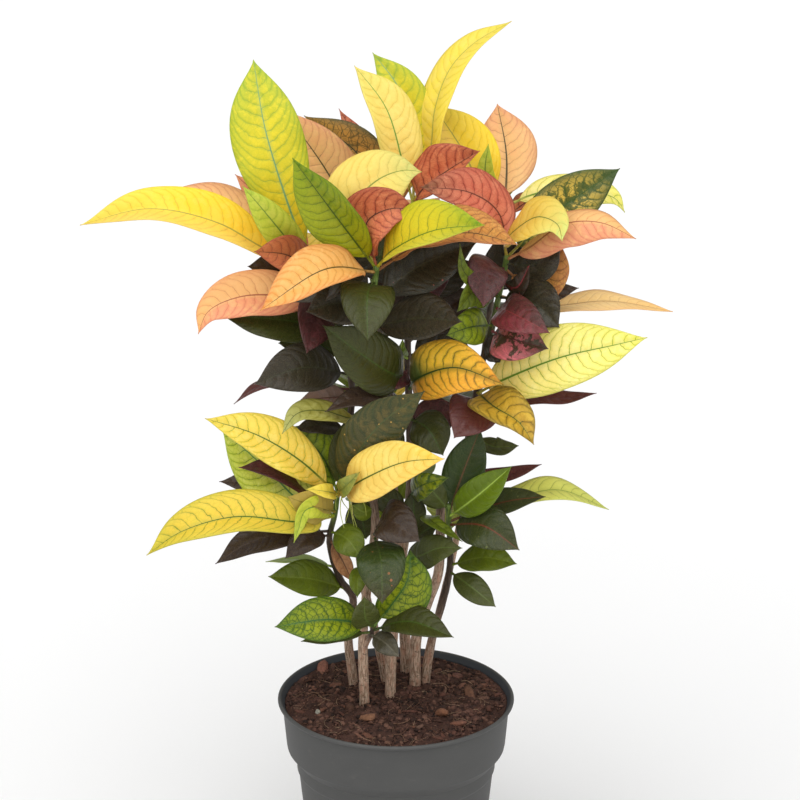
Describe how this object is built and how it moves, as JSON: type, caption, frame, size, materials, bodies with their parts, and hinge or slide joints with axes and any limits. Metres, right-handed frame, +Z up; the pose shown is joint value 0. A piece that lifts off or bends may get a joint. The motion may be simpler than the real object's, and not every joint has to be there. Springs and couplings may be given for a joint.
{
  "type": "potted croton",
  "caption": "Bushy potted croton: several woody stems with long pointed multicoloured leaves, standing in a tapered plastic nursery pot filled with peat.",
  "frame": {"origin": "middle of the pot's flat underside, on the floor", "axes": "+Z up along the pot's axis; the pictured front faces -Y and +X is to its right"},
  "size_m": [0.4992, 0.3519, 0.7917],
  "materials": {
    "pot_plastic": "satin",
    "peat": "matte",
    "foliage_yellow": "satin",
    "foliage_orange": "satin",
    "foliage_dark": "satin",
    "foliage_green": "satin"
  },
  "bodies": {
    "root": {"pot": "pot_plastic", "soil": "peat", "stem_left": "foliage_yellow", "stem_front": "foliage_orange", "stem_inner_left": "foliage_yellow", "stem_middle": "foliage_yellow", "stem_right": "foliage_dark", "stem_far_right": "foliage_green", "stem_back": "foliage_green"}
  },
  "joints": []
}
